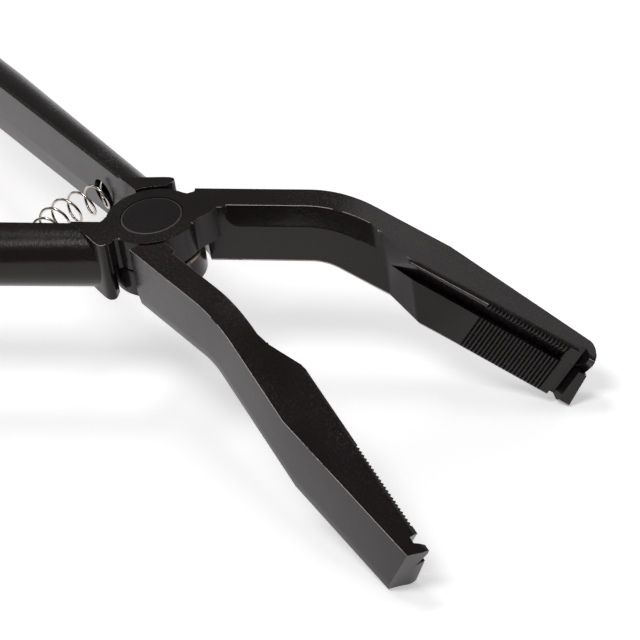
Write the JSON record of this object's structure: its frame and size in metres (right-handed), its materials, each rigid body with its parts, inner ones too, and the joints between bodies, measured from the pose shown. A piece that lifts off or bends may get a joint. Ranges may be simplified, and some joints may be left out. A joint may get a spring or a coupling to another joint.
{
  "type": "bent nose spring opened gripping pliers",
  "caption": "Lap-joint pliers with nose bent down, serrated grooved jaws with hooked tips, D-section handles and a coil return spring",
  "frame": {"origin": "On the pivot axis at the flush top face of the rivet head, level with the top of the joint", "axes": "+Z is the pivot axis, out of the rivet head's top; +X points along the upper lever towards the nose; the noses bend down to -Z"},
  "size_m": [0.2253, 0.1698, 0.0476],
  "materials": {
    "black_oxide": "glossy blackened drop-forged steel with lightly worn edges",
    "rivet_steel": "blackened ground rivet head",
    "spring_steel": "bright nickel-plated spring wire"
  },
  "bodies": {
    "upper_lever_body": {"upper_lever": "black_oxide", "pivot_rivet": "rivet_steel", "return_spring": "spring_steel"},
    "lower_lever_body": {"lower_lever": "black_oxide"}
  },
  "joints": [
    {"name": "pivot", "type": "hinge", "parent": "upper_lever_body", "child": "lower_lever_body", "pos_m": [0, 0, 0], "axis": [0, 0, 1], "range_deg": [-18, 42], "stiffness_Nm_per_rad": 0.35, "deforming": ["return_spring"]}
  ]
}
